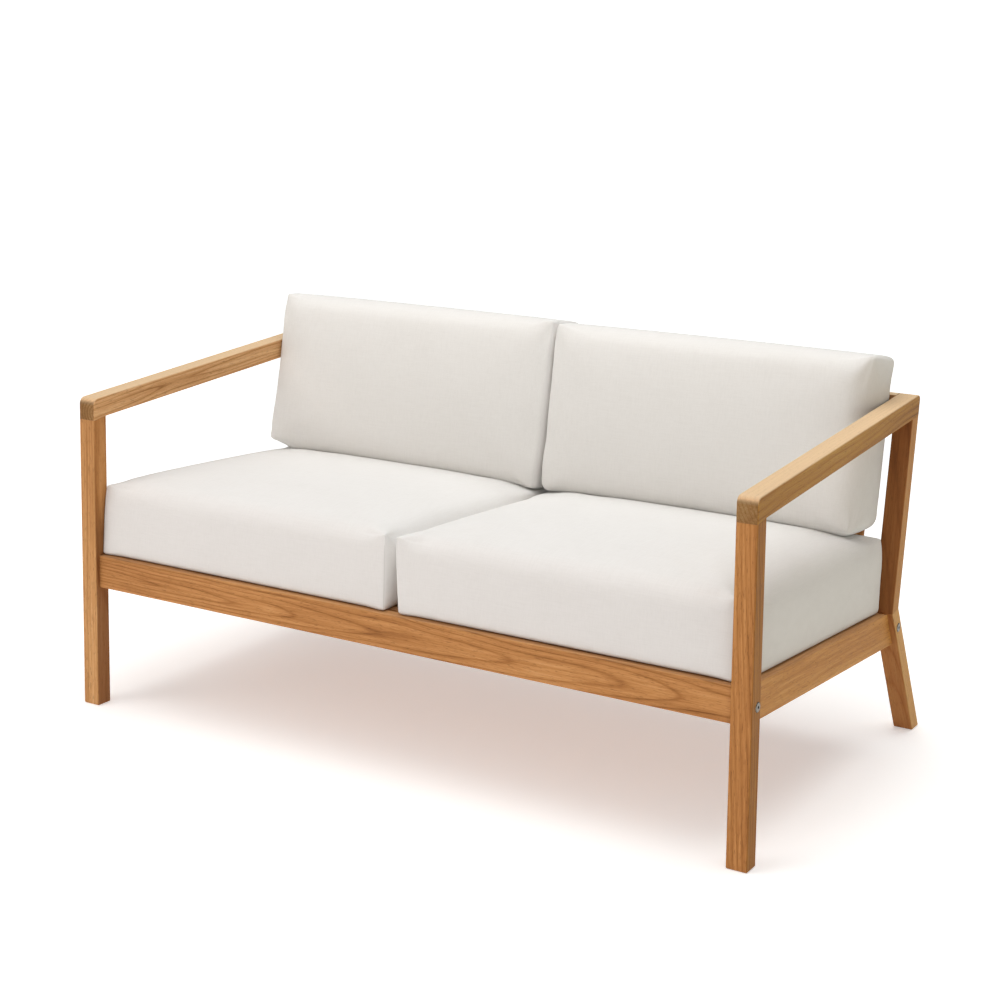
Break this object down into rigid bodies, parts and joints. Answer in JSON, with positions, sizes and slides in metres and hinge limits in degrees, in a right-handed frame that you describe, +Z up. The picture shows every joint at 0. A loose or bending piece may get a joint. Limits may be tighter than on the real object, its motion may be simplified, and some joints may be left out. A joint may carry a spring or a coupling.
{
  "type": "patio loveseat",
  "caption": "Low two-seat garden sofa with a sloped-arm slatted wooden frame, kicked-back rear legs and loose boxed seat and back cushions.",
  "frame": {"origin": "on the ground at the middle of the overall box", "axes": "+X to the right as seen from the front, +Y to the rear, +Z up"},
  "size_m": [1.4426, 0.8051, 0.759],
  "materials": {
    "teak": "oiled, fine straight grain",
    "dowel_wood": "turned, unfinished",
    "seat_canvas": "plain woven canvas",
    "back_canvas": "plain woven canvas",
    "stainless": "satin"
  },
  "bodies": {
    "root": {"arm_left": "teak", "arm_right": "teak", "back_slat_01": "teak", "back_slat_02": "teak", "back_slat_03": "teak", "back_slat_04": "teak", "back_slat_05": "teak", "back_slat_06": "teak", "back_slat_07": "teak", "back_slat_08": "teak", "back_slat_09": "teak", "back_slat_10": "teak", "back_slat_11": "teak", "back_slat_12": "teak", "barrel_nuts": "stainless", "connector_bolts": "stainless", "front_leg_left": "teak", "front_leg_right": "teak", "front_rail": "teak", "ledger_left": "teak", "ledger_right": "teak", "ledger_screws": "stainless", "lower_back_rail": "teak", "rail_dowels": "dowel_wood", "rear_leg_left": "teak", "rear_leg_right": "teak", "rear_rail": "teak", "seat_bearer": "teak", "seat_slat_1": "teak", "seat_slat_2": "teak", "seat_slat_3": "teak", "seat_slat_4": "teak", "seat_slat_5": "teak", "seat_slat_6": "teak", "seat_slat_7": "teak", "seat_slat_8": "teak", "side_rail_left": "teak", "side_rail_right": "teak", "slat_screws": "stainless", "top_rail": "teak"},
    "seat_cushion_left": {"seat_cushion_left": "seat_canvas"},
    "seat_cushion_right": {"seat_cushion_right": "seat_canvas"},
    "back_cushion_left": {"back_cushion_left": "back_canvas"},
    "back_cushion_right": {"back_cushion_right": "back_canvas"}
  },
  "joints": [
    {"name": "lift_seat_cushion_left", "type": "slide", "parent": "root", "child": "seat_cushion_left", "axis": [0, 0, 1], "range_m": [0, 0.13]},
    {"name": "lift_seat_cushion_right", "type": "slide", "parent": "root", "child": "seat_cushion_right", "axis": [0, 0, 1], "range_m": [0, 0.13]},
    {"name": "lift_back_cushion_left", "type": "slide", "parent": "seat_cushion_left", "child": "back_cushion_left", "axis": [0, 0, 1], "range_m": [0, 0.4]},
    {"name": "lift_back_cushion_right", "type": "slide", "parent": "seat_cushion_right", "child": "back_cushion_right", "axis": [0, 0, 1], "range_m": [0, 0.4]}
  ]
}
